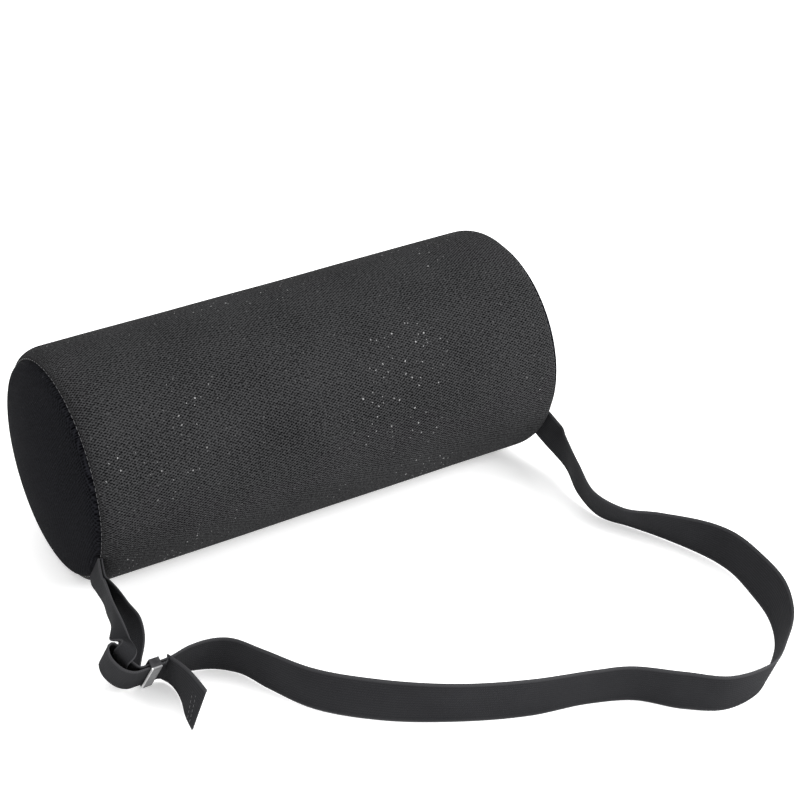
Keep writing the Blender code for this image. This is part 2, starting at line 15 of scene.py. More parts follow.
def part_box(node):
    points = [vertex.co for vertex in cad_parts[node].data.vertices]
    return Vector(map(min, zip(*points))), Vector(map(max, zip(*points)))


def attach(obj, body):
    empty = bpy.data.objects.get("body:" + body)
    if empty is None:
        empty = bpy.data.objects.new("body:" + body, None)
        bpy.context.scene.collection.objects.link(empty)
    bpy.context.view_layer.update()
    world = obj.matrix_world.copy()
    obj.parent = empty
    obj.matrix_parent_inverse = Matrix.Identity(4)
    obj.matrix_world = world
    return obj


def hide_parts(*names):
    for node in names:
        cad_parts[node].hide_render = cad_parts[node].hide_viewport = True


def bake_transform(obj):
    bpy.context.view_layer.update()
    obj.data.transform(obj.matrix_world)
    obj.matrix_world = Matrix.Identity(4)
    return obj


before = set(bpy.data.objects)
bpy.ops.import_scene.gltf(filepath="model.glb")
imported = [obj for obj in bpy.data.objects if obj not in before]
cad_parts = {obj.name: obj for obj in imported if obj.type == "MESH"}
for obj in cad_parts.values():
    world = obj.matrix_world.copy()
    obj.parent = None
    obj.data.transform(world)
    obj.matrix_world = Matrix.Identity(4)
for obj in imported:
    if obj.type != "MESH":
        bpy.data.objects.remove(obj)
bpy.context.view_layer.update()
MM = 0.001

# %% [markdown]
# ## The camera
# The roll is seen from its front left, from well above. A long lens a metre or so away keeps the near end
# only a little larger than the far one. The camera stays upright, so its place and the direction it looks
# in are all it needs.

# %% Camera
CAMERA_PLACE = (-0.4401, -0.8557, 0.6465)
LOOK = Vector((0.43791, 0.73263, -0.52104))
camera_data = bpy.data.cameras.new("camera")
camera_data.lens = 93.05
camera_data.sensor_width = 36
camera = bpy.data.objects.new("camera", camera_data)
camera.location = CAMERA_PLACE
camera.rotation_euler = LOOK.to_track_quat("-Z", "Y").to_euler()
bpy.context.collection.objects.link(camera)
bpy.context.scene.camera = camera
print("camera looks down by", round(math.degrees(math.asin(-LOOK.z)), 1), "degrees")

# %% [markdown]
# ## The roll's own sizes
# The barrel cover's box gives the roll's diameter and the height of its axis. It is pressed flat a little
# where it lies, so its height is less than its depth. The end seams run round the middle of the soft
# corners.

# %% Sizes of the roll
barrel_low, barrel_high = (Vector(corner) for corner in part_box("barrel_cover"))
RADIUS = (barrel_high.y - barrel_low.y) / 2
AXIS_HEIGHT = barrel_high.z - RADIUS
SEAM_X = barrel_high.x
CORNER_RADIUS = 14.6 * MM
CORNER_TURN = math.radians(45)  # how far round its soft corner each end seam lies
END_CROWN = 6 * MM
HALF_LENGTH = SEAM_X + CORNER_RADIUS * (1 - math.cos(CORNER_TURN))
SEAM_RADIUS = RADIUS - CORNER_RADIUS * (1 - math.cos(CORNER_TURN))
print("roll:", round(2 * RADIUS / MM, 1), "mm across,", round(2 * HALF_LENGTH / MM, 1), "mm long")


def around(x, radius, angle):
    """A point about the roll's axis; angles are in degrees, from the front, over the top, to the rear."""
    turn = math.radians(angle)
    return Vector((x, -radius * math.cos(turn), AXIS_HEIGHT + radius * math.sin(turn)))


# %% [markdown]
# ## Where the webbing goes
# Webbing bends easily about its width and hardly at all within it, so it is described by its two edges.
# Each row of numbers below holds the lower edge's place, in millimetres, and how far the top edge leans
# from it. The strap leaves the right end seam, falls to the floor on its edge, runs round to the slider,
# makes a small ring through the short loop at the left seam, and comes back through the slider to its cut
# end.

# %% Route of the strap
WEBBING_WIDTH = 25 * MM
WEBBING_THICKNESS = 1.2 * MM
FLOOR_EDGE = 0.5  # millimetres from the floor to the lower edge, where the strap lies
ANCHOR_ANGLE = -35
ANCHOR_LEAN = math.radians(15)
SEAM_ALLOWANCE = 1.6 * MM
ANCHOR_OUTWARD = around(0, 1, ANCHOR_ANGLE) - Vector((0, 0, AXIS_HEIGHT))
ANCHOR_ACROSS = Vector((0, ANCHOR_OUTWARD.z, -ANCHOR_OUTWARD.y))
ANCHOR_CENTRE = around(0, SEAM_RADIUS, ANCHOR_ANGLE)
PLY_OFFSET = (WEBBING_THICKNESS + 0.3 * MM) / 2
STRAP_ROUTE = [
    (140, -67, 7, -4, -4),
    (134, -89, 3, -4, -3),
    (134, -109, FLOOR_EDGE, -9, -5),
    (143, -126, FLOOR_EDGE, -12, -7),
    (152, -145, FLOOR_EDGE, -9, -4),
    (163, -187, FLOOR_EDGE, 1, 0),
    (160, -207, FLOOR_EDGE, 4, -1),
    (154, -229, FLOOR_EDGE, 6, -2),
    (143, -247, FLOOR_EDGE, 5, -5),
    (127, -261, FLOOR_EDGE, 5, -6),
    (110, -272, FLOOR_EDGE, 3, -7),
    (90, -273, FLOOR_EDGE, -1, -5),
    (73, -262, FLOOR_EDGE, -2, -2),
    (57, -245, FLOOR_EDGE, -4, -3),
    (37, -236, FLOOR_EDGE, -1, -5),
    (8, -229, FLOOR_EDGE, -1, -3),
    (-26, -214, FLOOR_EDGE, -1, -2),
    (-57, -194, FLOOR_EDGE, 0, 0),
    (-80, -170, FLOOR_EDGE, 0, 0),
    (-91, -146, FLOOR_EDGE, -2, 0),
    (-98, -128, FLOOR_EDGE, -4, -2),
    (-107, -119, FLOOR_EDGE, -3, -6),
    (-120, -114.5, 1.2, -1, -9.5),
]
RING_ROUTE = [  # across the slider (+ to the right) and behind it
    (-9.6, 4.6),
    (-11.3, 9.6),
    (-13, 14.6),
    (-14.8, 17),
    (-17.3, 16.3),
    (-18.6, 12.5),
    (-17.3, 6.5),
    (-13.8, 1.6),
    (-10, -0.5),
]
TAIL_ROUTE = [
    (-131.5, -117.5, 1.4, -2.5, -8),
    (-130.2, -125, FLOOR_EDGE, -3, -3),
    (-131.5, -134, FLOOR_EDGE, 0, -0.5),
    (-134.6, -144, FLOOR_EDGE, 5, -0.3),
    (-136.5, -155, FLOOR_EDGE, 7.5, -3),
]
SLIDER_PLACE = Vector((-141.5, -113.5, 3.3)) * MM
SLIDER_ACROSS = Euler((math.radians(35), 0, 0)).to_matrix() @ Vector((0, 0, 1))
SLIDER_FACE = Vector((0, -SLIDER_ACROSS.z, SLIDER_ACROSS.y))
STRAIGHT_AHEAD = 6  # millimetres of straight webbing on each side of the slider


# %% Smooth curves through rows of numbers
def smooth(rows, start=None, end=None, step=1.5):
    """Closely spaced rows on a smooth curve through rows; start and end are directions at its two ends."""
    rows = [[float(v) for v in row] for row in rows]
    reach = [max(1e-6, math.dist(a[:3], b[:3])) for a, b in zip(rows, rows[1:])]
    slopes = []
    for i, row in enumerate(rows):
        before = [(b - a) / reach[i - 1] for a, b in zip(rows[i - 1], row)] if i else None
        after = [(b - a) / reach[i] for a, b in zip(row, rows[i + 1])] if i < len(reach) else None
        if before and after:
            share = reach[i - 1] / (reach[i - 1] + reach[i])
            slopes.append([b * (1 - share) + a * share for b, a in zip(before, after)])
        else:
            slopes.append(before or after)
    if start:
        slopes[0] = [*start, *([0.0] * (len(rows[0]) - 3))]
    if end:
        slopes[-1] = [*end, *([0.0] * (len(rows[0]) - 3))]
    points = [rows[0]]
    for i, h in enumerate(reach):
        count = max(2, math.ceil(h / step))
        for k in range(1, count + 1):
            t = k / count
            a, b = 2 * t**3 - 3 * t**2 + 1, t**3 - 2 * t**2 + t
            c, d = 3 * t**2 - 2 * t**3, t**3 - t**2
            ends = zip(rows[i], slopes[i], rows[i + 1], slopes[i + 1])
            points.append([a * p + b * h * m + c * q + d * h * n for p, m, q, n in ends])
    return points


def leaning_edges(row):
    """The lower and upper edge points, in metres, of one strap row."""
    low, lean = Vector(row[:3]) * MM, Vector((row[3], row[4], 0)) * MM
    rise = math.sqrt(max(0.0, WEBBING_WIDTH**2 - lean.length_squared))
    return low, low + lean + Vector((0, 0, rise))


def as_row(edges):
    low, high = edges
    return [*(low / MM), (high.x - low.x) / MM, (high.y - low.y) / MM]


def anchor_edges(side, distance, offset=0.0):
    """The two edges of webbing at a distance out of an end seam."""
    outward = ANCHOR_OUTWARD * math.cos(ANCHOR_LEAN) + Vector((side * math.sin(ANCHOR_LEAN), 0, 0))
    middle = ANCHOR_CENTRE + Vector((side * SEAM_X, 0, 0)) + outward * distance
    middle = middle + outward.cross(ANCHOR_ACROSS) * offset
    half = ANCHOR_ACROSS * WEBBING_WIDTH / 2
    return middle - half, middle + half


def slider_point(right, behind, up):
    """A point given in millimetres from the slider: to the right, behind, and up along its width."""
    return SLIDER_PLACE + (Vector((right, 0, 0)) - SLIDER_FACE * behind + SLIDER_ACROSS * up) * MM


def slider_row(right, behind):
    return as_row((slider_point(right, behind, 0), slider_point(right, behind, WEBBING_WIDTH / MM)))


# %% Edges of the whole strap
def strap_edges():
    leave = [as_row(anchor_edges(1, d)) for d in (-SEAM_ALLOWANCE, 6 * MM)]
    apart = PLY_OFFSET / MM
    main = smooth([*leave, *STRAP_ROUTE, slider_row(STRAIGHT_AHEAD, apart)], end=(-1, 0, 0))
    ring_rows = [(-STRAIGHT_AHEAD, apart), *RING_ROUTE, (-STRAIGHT_AHEAD, -apart)]
    ring = smooth([slider_row(*p) for p in ring_rows], start=(-1, 0, 0), end=(1, 0, 0), step=0.8)
    tail = smooth([slider_row(STRAIGHT_AHEAD, -apart), *TAIL_ROUTE], start=(1, 0, 0), step=1.2)
    return [leaning_edges(row) for row in (*main, *ring, *tail)]


def middle_line(edges):
    return [(low + high) / 2 for low, high in edges]


def line_length(points):
    return sum((b - a).length for a, b in zip(points, points[1:]))


strap_edge_points = strap_edges()
strap_line = middle_line(strap_edge_points)
STRAP_LENGTH = line_length(strap_line)
print("strap length in mm:", round(STRAP_LENGTH / MM))

# %% [markdown]
# ## The short loop
# At the left seam a short loop of the same webbing is sewn in with both of its ends. It carries the strap's
# ring. Where it goes round the ring it is squeezed to 10 mm, so its rows give both edges in full.

# %% Edges of the short loop
LOOP_ROOT_ROW = (-136.6, -48.9, 13.7, -138.6, -63, 33.9)  # the middle of the two plies, outside the seam
LOOP_OUT_ROUTE = [
    (-137.6, -56.5, 12.8, -140.1, -67, 35.2),
    (-141, -70, 14.6, -141.6, -74.3, 36),
    (-143.9, -81.8, 16.6, -143.4, -84.5, 34.5),
    (-149.4, -92.6, 20, -145, -99.8, 32.6),
    (-153, -100.8, 24.7, -146.6, -110.6, 31.1),
]
LOOP_ROUND_ROUTE = [(0.4, 27), (-1.9, 25), (-1.9, 18), (-1.9, 8), (-1.9, 0), (-0.2, -2)]
LOOP_ROUND_WIDTH = 10
LOOP_BACK_ROUTE = [
    (-150.8, -100.5, 9.9, -145.3, -109.5, 4.3),
    (-147, -93.4, 9, -137, -102, 9.6),
    (-143.9, -87.6, 8.4, -132.4, -95.6, 14.2),
    (-140.1, -80.1, 6.7, -130.3, -86.7, 20.5),
    (-137.6, -71.8, 6.3, -132.8, -79.1, 25.4),
    (-135.9, -63.5, 8.8, -135.1, -72, 30.4),
    (-135.1, -55.5, 11.6, -137.4, -66.6, 33.7),
]


def loop_end_rows(ply):
    """One ply from inside the seam outwards; ply is 1 for the outer and -1 for the inner."""
    ends = [anchor_edges(-1, distance, ply * PLY_OFFSET) for distance in (-SEAM_ALLOWANCE, 2.5 * MM)]
    aside = -ply * PLY_OFFSET * 1.1 / MM
    root = LOOP_ROOT_ROW
    root = (root[0] + aside, *root[1:3], root[3] + aside, *root[4:])
    return [[v / MM for edge in row for v in edge] for row in ends] + [root]


def loop_edges():
    (right_a, behind_a), (right_b, behind_b) = RING_ROUTE[0], RING_ROUTE[2]
    reach = math.hypot(right_b - right_a, behind_b - behind_a)
    along = Vector(((right_b - right_a) / reach, (behind_b - behind_a) / reach))
    middle = Vector(((right_a + right_b) / 2, (behind_a + behind_b) / 2))
    round_rows = []
    for out, up in LOOP_ROUND_ROUTE:
        centre = middle + Vector((along.y, -along.x)) * out
        ends = [centre + along * LOOP_ROUND_WIDTH / 2 * side for side in (1, -1)]
        round_rows.append([v / MM for end in ends for v in slider_point(*end, up)])
    route = [*loop_end_rows(1), *LOOP_OUT_ROUTE, *round_rows, *LOOP_BACK_ROUTE, *reversed(loop_end_rows(-1))]
    rows = smooth(route, step=0.9)
    return [(Vector(row[:3]) * MM, Vector(row[3:]) * MM) for row in rows]


loop_edge_points = loop_edges()
print("loop length in mm:", round(line_length(middle_line(loop_edge_points)) / MM))

# %% [markdown]
# ## Floor and light
# A pale floor and broad soft light from all round show dark cloth best: a small hard lamp would leave half
# of it black. One large lamp above and in front shapes the barrel, and the end cap stays in its own shade,
# which its knit's darker colour also paints in.

# %% Floor and studio light
floor_mesh = bpy.data.meshes.new("floor")
floor_mesh.from_pydata([(-30, -30, 0), (30, -30, 0), (30, 30, 0), (-30, 30, 0)], [], [(0, 1, 2, 3)])
floor = bpy.data.objects.new("floor", floor_mesh)
bpy.context.collection.objects.link(floor)

world = bpy.data.worlds.new("studio")
bpy.context.scene.world = world
world.use_nodes = True
world.node_tree.nodes["Background"].inputs["Color"].default_value = (1, 1, 1, 1)
world.node_tree.nodes["Background"].inputs["Strength"].default_value = 1.15
bpy.context.scene.view_settings.view_transform = "Standard"


def soft_lamp(name, place, target, size, power):
    lamp_data = bpy.data.lights.new(name, "AREA")
    lamp_data.energy = power
    lamp_data.shape = "DISK"
    lamp_data.size = size
    lamp = bpy.data.objects.new(name, lamp_data)
    lamp.location = place
    lamp.rotation_euler = (Vector(target) - Vector(place)).to_track_quat("-Z", "Y").to_euler()
    bpy.context.collection.objects.link(lamp)
    return lamp


soft_lamp("front_lamp", (0.9, -1.3, 1.0), (0, 0, 0.05), 0.9, 30)
soft_lamp("top_lamp", (0.3, 0.1, 1.7), (0, -0.05, 0), 1.2, 7)

# %% [markdown]
# ## Writing a finish
# A finish is a small graph of nodes. Two helpers keep it readable: a value that understands + - and *, and
# one method that adds any other node.


# %% Node helpers
class Value:
    """A number flowing through a finish; arithmetic on it adds Math nodes."""

    def __init__(self, finish, socket):
        self.finish, self.socket = finish, socket

    def math(self, operation, *others, swap=False):
        values = [self, *others]
        if swap:
            values.reverse()
        return self.finish.node("ShaderNodeMath", {"operation": operation}, dict(enumerate(values)))

    def __add__(self, other):
        return self.math("ADD", other)

    def __sub__(self, other):
        return self.math("SUBTRACT", other)

    def __mul__(self, other):
        return self.math("MULTIPLY", other)

    def __rsub__(self, other):
        return self.math("SUBTRACT", other, swap=True)

    __radd__ = __add__

    def wave(self, length):
        """Goes between -1 and 1 once in each length."""
        return (self * (math.tau / length)).math("SINE")

    def size(self):
        return self.math("ABSOLUTE")

    def over(self, edge, softness):
        """0 below the edge, 1 above it, with a soft step between."""
        low, high = edge - softness / 2, edge + softness / 2
        settings = {"interpolation_type": "SMOOTHSTEP"}
        return self.finish.node("ShaderNodeMapRange", settings, {0: self, 1: low, 2: high, 3: 0.0, 4: 1.0})


class Finish:
    """One material and the nodes behind it."""

    def __init__(self, name, colour, roughness, metallic=0.0, **fixed):
        self.material = bpy.data.materials.new(name)
        self.material.use_nodes = True
        self.tree = self.material.node_tree
        self.shader = self.tree.nodes["Principled BSDF"]
        settings = {"Base Color": (*colour, 1), "Roughness": roughness, "Metallic": metallic, **fixed}
        for socket, value in settings.items():
            self.shader.inputs[socket].default_value = value

    def node(self, kind, settings=None, inputs=None, output=0):
        made = self.tree.nodes.new(kind)
        for key, value in (settings or {}).items():
            setattr(made, key, value)
        for key, value in (inputs or {}).items():
            self.feed(made.inputs[key], value)
        return Value(self, made.outputs[output])

    def feed(self, socket, value):
        if isinstance(value, Value):
            self.tree.links.new(value.socket, socket)
        else:
            socket.default_value = value

    def place(self, source="Object"):
        """X, Y and Z of the piece's own coordinates, or of its cloth map."""
        if source == "cloth":
            where = self.node("ShaderNodeUVMap", {"uv_map": "cloth"})
        else:
            where = self.node("ShaderNodeTexCoord", output=source)
        split = self.node("ShaderNodeSeparateXYZ", inputs={0: where})
        return where, [split, *(Value(self, split.socket.node.outputs[i]) for i in (1, 2))]

    def mix(self, factor, a, b):
        colours = {i: (*c, 1) if isinstance(c, tuple) else c for i, c in ((6, a), (7, b))}
        return self.node("ShaderNodeMix", {"data_type": "RGBA"}, {0: factor, **colours}, output=2)

    def noise(self, where, scale, detail=2.0, roughness=0.5, output=0):
        inputs = {"Vector": where, "Scale": scale, "Detail": detail, "Roughness": roughness}
        return self.node("ShaderNodeTexNoise", None, inputs, output)

    def colour(self, value):
        self.feed(self.shader.inputs["Base Color"], value)

    def roughness(self, value):
        self.feed(self.shader.inputs["Roughness"], value)

    def relief(self, height, distance, strength=1.0):
        inputs = {"Height": height, "Distance": distance, "Strength": strength}
        bump = self.node("ShaderNodeBump", None, inputs)
        self.feed(self.shader.inputs["Normal"], bump)


def dress(obj, finish):
    """Give a piece, new or measured, one finish all over."""
    obj.data.materials.clear()
    obj.data.materials.append(finish.material)
    return obj


# %% [markdown]
# ### Knit cover
# The cover is an air-mesh knit: two thin faces held apart by springy threads, with a diamond lattice of
# small pits in the outer one. Crossed waves make the lattice, a little noise keeps it from looking printed,
# and the pits are deeper, with painted shade in them. A few fibres stand up and catch the light. The pattern
# follows the cloth, so it reads a map in metres that each cover piece carries. The end caps have the same
# knit, painted darker all over as the shade they lie in.

# %% Knit finish
PIT_SPACING = 1.6 * MM


def knit_finish(name, thread, pit_painted_shade, fleck, stray_share=0.0):
    soft = {"Sheen Weight": 0.01, "Sheen Roughness": 0.6, "Specular IOR Level": 0.01}
    knit = Finish(name, thread, 0.9, **soft)
    where, (u, v, _) = knit.place("cloth")
    wander = (knit.noise(where, 500.0, 1.0) - 0.5) * (0.9 * MM)
    a = (u + v * 0.62 + wander).wave(2 * PIT_SPACING)
    b = (u - v * 0.62 - wander).wave(2 * PIT_SPACING)
    pits = (a * b).size().over(0.42, 0.5)
    loops = knit.noise(where, 760.0, 2.0, 0.6)
    patches = knit.noise(where, 28.0, 3.0, 0.55)
    shade = pits * 0.75 + (0.5 - loops) * 2.2 + (patches - 0.5) * 0.4 + 0.12
    # The pits take the pit colour: painted shade in the knit's recesses.
    cloth = knit.mix(shade, thread, pit_painted_shade)
    worn = knit.noise(where, 16.0, 2.0).over(0.56, 0.12)
    stray = knit.noise(where, 620.0, 0.0).over(0.8 - stray_share, 0.02)
    knit.colour(knit.mix(stray * (worn * 0.6 + 0.08), cloth, fleck))
    knit.roughness(0.84 + loops * 0.12)
    knit.relief((1 - pits) * 0.7 + loops * 0.6, 0.5 * MM, 0.7)
    return knit


cover_knit = knit_finish(
    "cover_knit",
    thread=(0.04, 0.0402, 0.0415),
    pit_painted_shade=(0.0015, 0.0015, 0.0018),
    fleck=(0.4, 0.4, 0.4),
    stray_share=0.01,
)
# Painted shade: the caps are the barrel's knit, with thread, pits and flecks made darker for the shade they
# lie in.
end_knit_painted_shade = knit_finish(
    "end_knit_painted_shade", thread=(0.0105, 0.0108, 0.0132), pit_painted_shade=(0.0004, 0.0004, 0.0008), fleck=(0.03, 0.03, 0.033)
)

# %% [markdown]
# ### Webbing
# Strap webbing is woven with fine cords along it and a weft across, and each edge is a thicker selvedge,
# painted paler as a highlight where it catches the light. Its map runs along the strap in one direction and
# across it in the other.

# %% Webbing finish
webbing_finish = Finish(
    "webbing", (0.02, 0.0205, 0.022), 0.75, **{"Sheen Weight": 0.01, "Specular IOR Level": 0.02}
)
where, (along, across, _) = webbing_finish.place("cloth")
cords = across.wave(1.5 * MM)
weft = (along + across * 0.6).wave(1.1 * MM)
weave = cords * 0.5 + weft * 0.35 + (cords * weft) * 0.25
fuzz = webbing_finish.noise(where, 1400.0, 2.0, 0.6)
wear = webbing_finish.noise(where, 45.0, 3.0)
selvedge_and_painted_glint = across.size().over(11.1 * MM, 1.6 * MM)
tone = (weave * 0.25 + 0.5) * 0.6 + fuzz * 0.45 + (wear - 0.5) * 0.3
woven = webbing_finish.mix(tone, (0.0035, 0.0036, 0.0044), (0.032, 0.0322, 0.0345))
# The selvedge mix is a painted highlight: both edges paler, as where they catch the light; their rise in the
# relief is real.
webbing_finish.colour(webbing_finish.mix(selvedge_and_painted_glint * 0.4, woven, (0.075, 0.075, 0.079)))
webbing_finish.roughness(0.62 + fuzz * 0.25)
webbing_finish.relief(weave * 0.5 + fuzz * 0.3 + selvedge_and_painted_glint * 0.5, 0.22 * MM, 0.8)

# %% [markdown]
# ### Tapes, thread, nylon, metal and foam
# The zip's tapes and the seam bindings are a fine twill. Thread is two plies twisted together. The nylon is
# smooth with a faint grain. The strap's slider, the zip's slider, its pull and its stops are plated zinc,
# rubbed brighter in places and very finely pitted. The strap slider's rails are painted dark, as painted
# shade, and its front bar is the palest of them, as painted light; its left edge carries a painted
# highlight. Foam is a mass of tiny open cells.

# %% Twill tape and thread
tape_finish = Finish("twill_tape", (0.02, 0.02, 0.022), 0.8, **{"Sheen Weight": 0.05})
where, (x, y, z) = tape_finish.place()
twill = (x + (y + z) * 0.8).wave(0.7 * MM)
grain = tape_finish.noise(where, 900.0)
tape_finish.colour(tape_finish.mix(twill * 0.25 + grain * 0.6, (0.008, 0.008, 0.009), (0.034, 0.034, 0.037)))
tape_finish.roughness(0.7 + grain * 0.2)
tape_finish.relief(twill * 0.5 + grain * 0.3, 0.1 * MM)

thread_finish = Finish("sewing_thread", (0.12, 0.12, 0.125), 0.5, **{"Sheen Weight": 0.05})
where, (x, y, z) = thread_finish.place()
plies = (x + y + z).wave(0.35 * MM)
thread_finish.colour(thread_finish.mix(plies * 0.3 + 0.5, (0.05, 0.05, 0.053), (0.2, 0.2, 0.205)))
thread_finish.relief(plies, 0.06 * MM)

# %% Nylon, plated metal and foam
nylon_finish = Finish("nylon_coil", (0.018, 0.018, 0.019), 0.38)
where, _ = nylon_finish.place()
grain = nylon_finish.noise(where, 1200.0)
nylon_finish.roughness(0.3 + grain * 0.2)
nylon_finish.relief(grain, 0.03 * MM)


def metal(name, dark, bright):
    """Plated zinc, rubbed brighter here and there.

    It gives the finish, its X, Y and Z, how rubbed it is and its tone.
    """
    plated = Finish(name, dark, 0.4, 0.9)
    where, places = plated.place()
    brushed = plated.noise(where, 700.0, 3.0)
    rubbed = plated.noise(where, 260.0, 3.0).over(0.55, 0.5)
    tone = plated.mix(rubbed, dark, bright)
    plated.colour(tone)
    plated.roughness(0.4 + brushed * 0.15)
    plated.relief(brushed * 0.4 + rubbed * 0.2, 0.04 * MM)
    return plated, places, rubbed, tone


zip_metal, *_ = metal("zip_zinc", (0.12, 0.12, 0.124), (0.35, 0.35, 0.36))
# The slider's rails are painted much darker than the zip's zinc, as painted shade; the rubbed patches on
# them are wear.
slider_metal, (x, y, z), rubbed, sides_painted_shade_tone = metal("slider_zinc", (0.02, 0.02, 0.022), (0.05, 0.05, 0.052))
slider_low, slider_high = (Vector(corner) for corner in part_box("strap_slider"))
slider_middle = (slider_low + slider_high) / 2
out = (y - slider_middle.y) * SLIDER_FACE.y + (z - slider_middle.z) * SLIDER_FACE.z
# The front bar is painted much paler than the rails, as painted light on the face the lamps meet; only its
# random rubbed patches are wear.
front_bar_painted_light = out.over(1.9 * MM, 0.3 * MM)
left_edge_painted_glint = (slider_middle.x - x).over((slider_high.x - slider_low.x) / 2 - 0.6 * MM, 0.3 * MM)
face = slider_metal.mix(rubbed, (0.16, 0.16, 0.164), (0.26, 0.26, 0.264))
plain = slider_metal.mix(front_bar_painted_light, sides_painted_shade_tone, face)
# A near-white painted highlight runs along the front bar's left edge.
slider_metal.colour(slider_metal.mix(left_edge_painted_glint * front_bar_painted_light * 0.9, plain, (0.8, 0.8, 0.8)))

foam_finish = Finish("foam", (0.52, 0.52, 0.47), 0.95)
where, _ = foam_finish.place()
cells = foam_finish.node("ShaderNodeTexVoronoi", None, {"Vector": where, "Scale": 700.0})
foam_finish.colour(foam_finish.mix(cells.over(0.45, 0.5), (0.62, 0.62, 0.56), (0.3, 0.3, 0.26)))
foam_finish.relief(1 - cells, 0.4 * MM)

floor_glow = {"Emission Color": (1, 1, 1, 1), "Emission Strength": 0.35}
floor_finish = Finish("pale_floor", (0.95, 0.95, 0.95), 0.9, **floor_glow)
where, _ = floor_finish.place()
floor_finish.roughness(0.85 + floor_finish.noise(where, 3.0) * 0.1)
dress(floor, floor_finish)

# %% [markdown]
# ## The knit cover
# The cover is a tube and two rounded caps, sewn edge to edge. It is drawn as rings about the roll's axis:
# from the middle of the right cap, round the soft corner, along the barrel and round to the middle of the
# left cap. Rings crowd together at each end seam, where the cloth dips into a groove. Two of the columns
# lie on the edges of the zip's slot, so that the slot can be opened cleanly afterwards.

# %% Rings of the cover
GROOVE_DEPTH = 1.5 * MM
GROOVE_HALF_WIDTH = 1.5 * MM
ZIP_ANGLE = 225
SLOT_HALF_ANGLE = math.degrees(4.5 * MM / RADIUS)
SLOT_HALF_LENGTH = 117 * MM
FLAT_RADIUS = RADIUS - CORNER_RADIUS
CORNER_ROWS = [-11.2, -9, -6.8, -4.9, -3.4, -2.3, -1.4, -0.7, 0, 0.7, 1.4, 2.3, 3.4, 4.9, 6.8, 9, 11.2]


def cover_rings():
    """(x, radius, distance from the nearest seam) of every ring, from the right pole to the left one."""
    right = []
    for k in range(13):
        share = k / 13
        radius = FLAT_RADIUS * share
        right.append((HALF_LENGTH + END_CROWN * (1 - share**2), radius, math.inf))
    for distance in CORNER_ROWS:
        turn = CORNER_TURN + distance * MM / CORNER_RADIUS
        arc = CORNER_RADIUS - GROOVE_DEPTH * math.exp(-((distance * MM / GROOVE_HALF_WIDTH) ** 2))
        x = HALF_LENGTH - CORNER_RADIUS + arc * math.cos(turn)
        right.append((x, FLAT_RADIUS + arc * math.sin(turn), abs(distance * MM)))
    straight = [122.5 * MM, 119.5 * MM] + [SLOT_HALF_LENGTH * (1 - k / 24) for k in range(24)]
    right += [(x, RADIUS, math.inf) for x in straight]
    return right + [(0, RADIUS, math.inf)] + [(-x, r, s) for x, r, s in reversed(right)]


rings = cover_rings()
seam_rows = [i for i, ring in enumerate(rings) if ring[2] == 0]
COLUMN_COUNT = 84
spread = (360 - 2 * SLOT_HALF_ANGLE) / (COLUMN_COUNT - 2)
columns = [ZIP_ANGLE - SLOT_HALF_ANGLE, ZIP_ANGLE]
columns += [ZIP_ANGLE + SLOT_HALF_ANGLE + spread * k for k in range(COLUMN_COUNT - 2)]
print(len(rings), "rings of", len(columns), "points")


# %% The whole cover as one mesh
START_INSET = 0.4 * MM  # the cloth starts a little small, and the foam then pushes it out
UNEVENNESS = 0.3 * MM


def settled(point):
    """Presses the underside flat on the floor, with a soft bend at the flat's edge."""
    soft = 1.3 * MM
    return Vector((point.x, point.y, (point.z + math.hypot(point.z, soft)) / 2))


def whole_cover():
    mesh = bpy.data.meshes.new("whole_cover")
    points, faces, face_rows = [Vector((rings[0][0], 0, AXIS_HEIGHT))], [], []
    for x, radius, _ in rings[1:-1]:
        for angle in columns:
            place = around(x, radius, angle)
            uneven = noise.noise(place * 18) * UNEVENNESS
            points.append(settled(around(x, radius - START_INSET + uneven, angle)))
    points.append(Vector((rings[-1][0], 0, AXIS_HEIGHT)))
    n, last = len(columns), len(points) - 1
    for i in range(len(rings) - 1):
        for j in range(n):
            k = (j + 1) % n
            if i == 0:
                faces.append((0, 1 + k, 1 + j))
            elif i == len(rings) - 2:
                faces.append((1 + (i - 1) * n + j, 1 + (i - 1) * n + k, last))
            else:
                a, b = 1 + (i - 1) * n, 1 + i * n
                faces.append((a + j, a + k, b + k, b + j))
            face_rows.append((i, j))
    mesh.from_pydata(points, [], faces)
    obj = bpy.data.objects.new("whole_cover", mesh)
    bpy.context.collection.objects.link(obj)
    return obj, face_rows


cover, cover_faces = whole_cover()

# %% [markdown]
# ### Letting the foam fill the cloth
# The foam inside pushes the knit outwards, and the stitches hold it in at the seams, at the zip and where
# it rests. Blender's cloth does just this: a little pressure from inside, no gravity, and a group of points
# that stay put. A cap that grows smoothly away from everything that holds the cloth keeps the swelling as
# gentle as the foam's, and the modifier is then taken off. Close round a cap's middle the points are so
# near each other that they only move together.

# %% Cloth under pressure
REACH_OF_PUSH = 1.4 * MM
MIDDLE_OF_CAP = 16 * MM
LOWEST_CLOTH = 0.2 * MM


def eased(value, low, high):
    """0 below low, 1 above high, and a smooth rise between."""
    t = min(1.0, max(0.0, (value - low) / (high - low)))
    return t * t * (3 - 2 * t)


def push_caps():
    """How far each point of the cover may be pushed."""
    caps = [REACH_OF_PUSH]
    for _, _, from_seam in rings[1:-1]:
        for angle in columns:
            height = cover.data.vertices[len(caps)].co.z
            from_zip = abs(angle % 360 - ZIP_ANGLE)
            free = eased(from_seam, 1 * MM, 9 * MM) * eased(height, 1 * MM, 20 * MM) * eased(from_zip, 5, 15)
            caps.append(REACH_OF_PUSH * free)
    return caps + [REACH_OF_PUSH]


